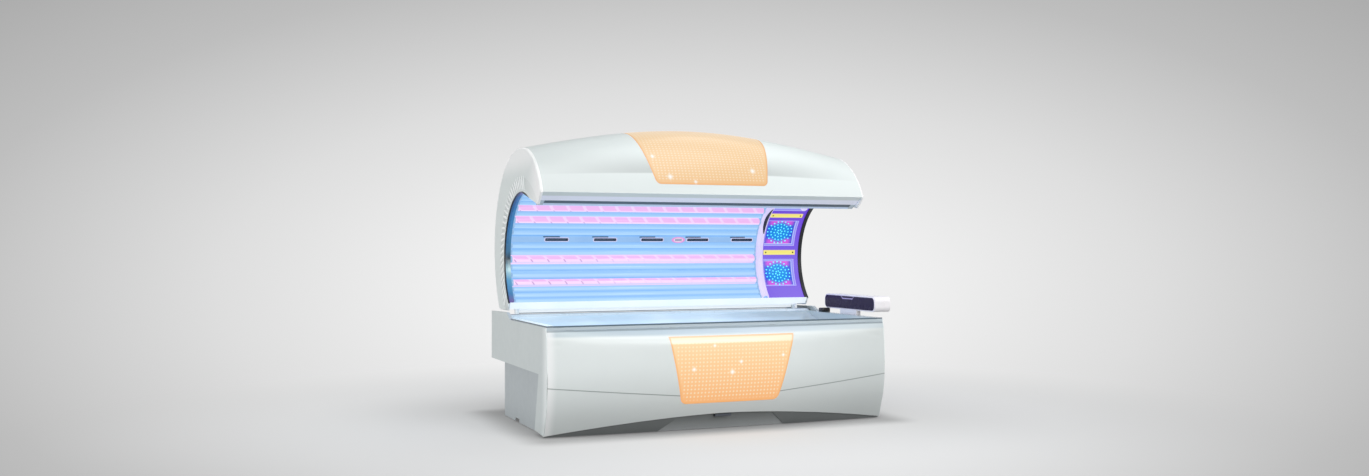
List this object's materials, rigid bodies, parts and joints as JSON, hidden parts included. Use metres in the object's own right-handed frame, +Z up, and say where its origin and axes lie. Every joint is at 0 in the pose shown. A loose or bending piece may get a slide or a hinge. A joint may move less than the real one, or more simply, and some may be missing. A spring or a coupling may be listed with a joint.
{
  "type": "clamshell tanning bed",
  "caption": "Clamshell tanning bed: concave clear bench over lamps in a white tub, and a crowned canopy with lamps, air nozzles and a facial unit that hinges down over it.",
  "frame": {"origin": "on the floor under the middle of the whole machine", "axes": "+X along the bed towards the head end and the console, +Y from the front cover towards the back, +Z up"},
  "size_m": [2.4282, 1.5214, 1.9127],
  "materials": {
    "shell_white": "glossy moulded white",
    "side_white": "satin moulded white",
    "cap_white": "satin moulded white",
    "deck_white": "satin white paint",
    "panel_grey": "satin grey paint",
    "kick_grey": "matte dark grey",
    "underside_grey": "satin grey",
    "amber_diffuser": "glossy lit amber",
    "light_tray": "matte white tray",
    "dark_plastic": "matte black",
    "strip_blue": "satin blue",
    "nozzle_violet": "glossy violet",
    "facial_violet": "glossy violet",
    "led_blue": "lit blue",
    "bar_yellow": "glossy yellow",
    "divider_lilac": "glossy lilac white",
    "clear_trim": "clear",
    "clear_acrylic": "clear polished",
    "lamp_glass": "lit tube",
    "socket_white": "satin white",
    "reflector_aluminium": "bright",
    "profile_aluminium": "satin anodised",
    "sheet_steel": "galvanised look",
    "ballast_steel": "satin",
    "frame_steel": "satin dark paint",
    "pin_steel": "ground",
    "strut_black": "gloss black",
    "fan_black": "matte black",
    "foot_rubber": "matte",
    "console_screen": "glossy dark"
  },
  "bodies": {
    "base": {"front_cover_upper": "shell_white", "front_cover_lower": "shell_white", "front_light_panel": "amber_diffuser", "front_light_board": "light_tray", "kick_plate": "kick_grey", "side_cover_left": "side_white", "side_cover_right": "side_white", "pedestal_side_left": "panel_grey", "pedestal_side_right": "panel_grey", "pedestal_rear_panel": "panel_grey", "rear_cover": "panel_grey", "floor_pan": "sheet_steel", "rear_deck": "deck_white", "bench_front_profile": "profile_aluminium", "bench_acrylic": "clear_acrylic", "bench_lamps": "lamp_glass", "bench_lamp_holders": "socket_white", "bench_reflector": "reflector_aluminium", "ballasts": "ballast_steel", "mains_gland": "dark_plastic", "fan_housings": "fan_black", "base_frame": "frame_steel", "levelling_feet": "foot_rubber", "hinge_brackets": "frame_steel", "hinge_pins": "pin_steel", "console_body": "shell_white", "console_face": "console_screen"},
    "canopy": {"canopy_front_cover": "shell_white", "canopy_rear_cover": "shell_white", "canopy_end_left": "cap_white", "canopy_end_right": "cap_white", "canopy_light_panel": "amber_diffuser", "canopy_light_board": "light_tray", "brow_underside": "underside_grey", "handle_rail": "dark_plastic", "handle_end_caps": "clear_trim", "canopy_frame": "frame_steel", "canopy_reflector": "reflector_aluminium", "canopy_lamps": "lamp_glass", "canopy_lamp_holders": "socket_white", "canopy_rims": "dark_plastic", "nozzle_strip": "strip_blue", "mist_outlet": "clear_trim", "facial_panel": "facial_violet", "facial_led_units": "led_blue", "facial_bars": "bar_yellow", "shoulder_divider": "divider_lilac", "canopy_bottom_cover": "deck_white"},
    "foot_switch": {"foot_switch": "dark_plastic"},
    "fan_left": {"fan_rotor_left": "fan_black"},
    "fan_right": {"fan_rotor_right": "fan_black"},
    "strut_cylinder_left": {"strut_cylinder_left": "strut_black"},
    "strut_cylinder_right": {"strut_cylinder_right": "strut_black"},
    "strut_rod_left": {"strut_rod_left": "pin_steel"},
    "strut_rod_right": {"strut_rod_right": "pin_steel"},
    "nozzle_1": {"air_nozzle_1": "nozzle_violet"},
    "nozzle_2": {"air_nozzle_2": "nozzle_violet"},
    "nozzle_3": {"air_nozzle_3": "nozzle_violet"},
    "nozzle_4": {"air_nozzle_4": "nozzle_violet"},
    "nozzle_5": {"air_nozzle_5": "nozzle_violet"}
  },
  "joints": [
    {"name": "canopy_hinge", "type": "hinge", "parent": "base", "child": "canopy", "pos_m": [-0.06415, 0.45177, 0.74], "axis": [1, 0, 0], "range_deg": [0, 38], "stiffness_Nm_per_rad": 450, "springref_deg": -33.23},
    {"name": "strut_cylinder_left_pivot", "type": "hinge", "parent": "base", "child": "strut_cylinder_left", "pos_m": [-1.14215, 0.69177, 0.575], "axis": [1, 0, 0], "range_deg": [-5.4, 0]},
    {"name": "strut_rod_left_slide", "type": "slide", "parent": "strut_cylinder_left", "child": "strut_rod_left", "axis": [0, -0.9469, 0.3215], "range_m": [-0.048, 0]},
    {"name": "strut_cylinder_right_pivot", "type": "hinge", "parent": "base", "child": "strut_cylinder_right", "pos_m": [1.01385, 0.69177, 0.575], "axis": [1, 0, 0], "range_deg": [-5.4, 0]},
    {"name": "strut_rod_right_slide", "type": "slide", "parent": "strut_cylinder_right", "child": "strut_rod_right", "axis": [0, -0.9469, 0.3215], "range_m": [-0.048, 0]},
    {"name": "foot_switch_press", "type": "slide", "parent": "base", "child": "foot_switch", "axis": [0, 1, 0], "range_m": [0, 0.005], "stiffness_N_per_m": 900},
    {"name": "fan_left_spin", "type": "hinge", "parent": "base", "child": "fan_left", "pos_m": [-0.61415, 0.45177, 0.201], "axis": [0, 1, 0], "continuous": true},
    {"name": "fan_right_spin", "type": "hinge", "parent": "base", "child": "fan_right", "pos_m": [0.48585, 0.45177, 0.201], "axis": [0, 1, 0], "continuous": true},
    {"name": "air_nozzle_1_turn", "type": "hinge", "parent": "canopy", "child": "nozzle_1", "pos_m": [-0.82615, 0.47914, 1.1848], "axis": [1, 0, 0], "range_deg": [-20, 20]},
    {"name": "air_nozzle_2_turn", "type": "hinge", "parent": "canopy", "child": "nozzle_2", "pos_m": [-0.47752, 0.47914, 1.1848], "axis": [1, 0, 0], "range_deg": [-20, 20]},
    {"name": "air_nozzle_3_turn", "type": "hinge", "parent": "canopy", "child": "nozzle_3", "pos_m": [-0.1289, 0.47914, 1.1848], "axis": [1, 0, 0], "range_deg": [-20, 20]},
    {"name": "air_nozzle_4_turn", "type": "hinge", "parent": "canopy", "child": "nozzle_4", "pos_m": [0.21973, 0.47914, 1.1848], "axis": [1, 0, 0], "range_deg": [-20, 20]},
    {"name": "air_nozzle_5_turn", "type": "hinge", "parent": "canopy", "child": "nozzle_5", "pos_m": [0.56835, 0.47914, 1.1848], "axis": [1, 0, 0], "range_deg": [-20, 20]}
  ],
  "couplings": [
    {"joint": "strut_cylinder_left_pivot", "follows": "canopy_hinge", "ratio": -0.135},
    {"joint": "strut_rod_left_slide", "follows": "canopy_hinge", "m_per_rad": -0.0714},
    {"joint": "strut_cylinder_right_pivot", "follows": "canopy_hinge", "ratio": -0.135},
    {"joint": "strut_rod_right_slide", "follows": "canopy_hinge", "m_per_rad": -0.0714}
  ]
}
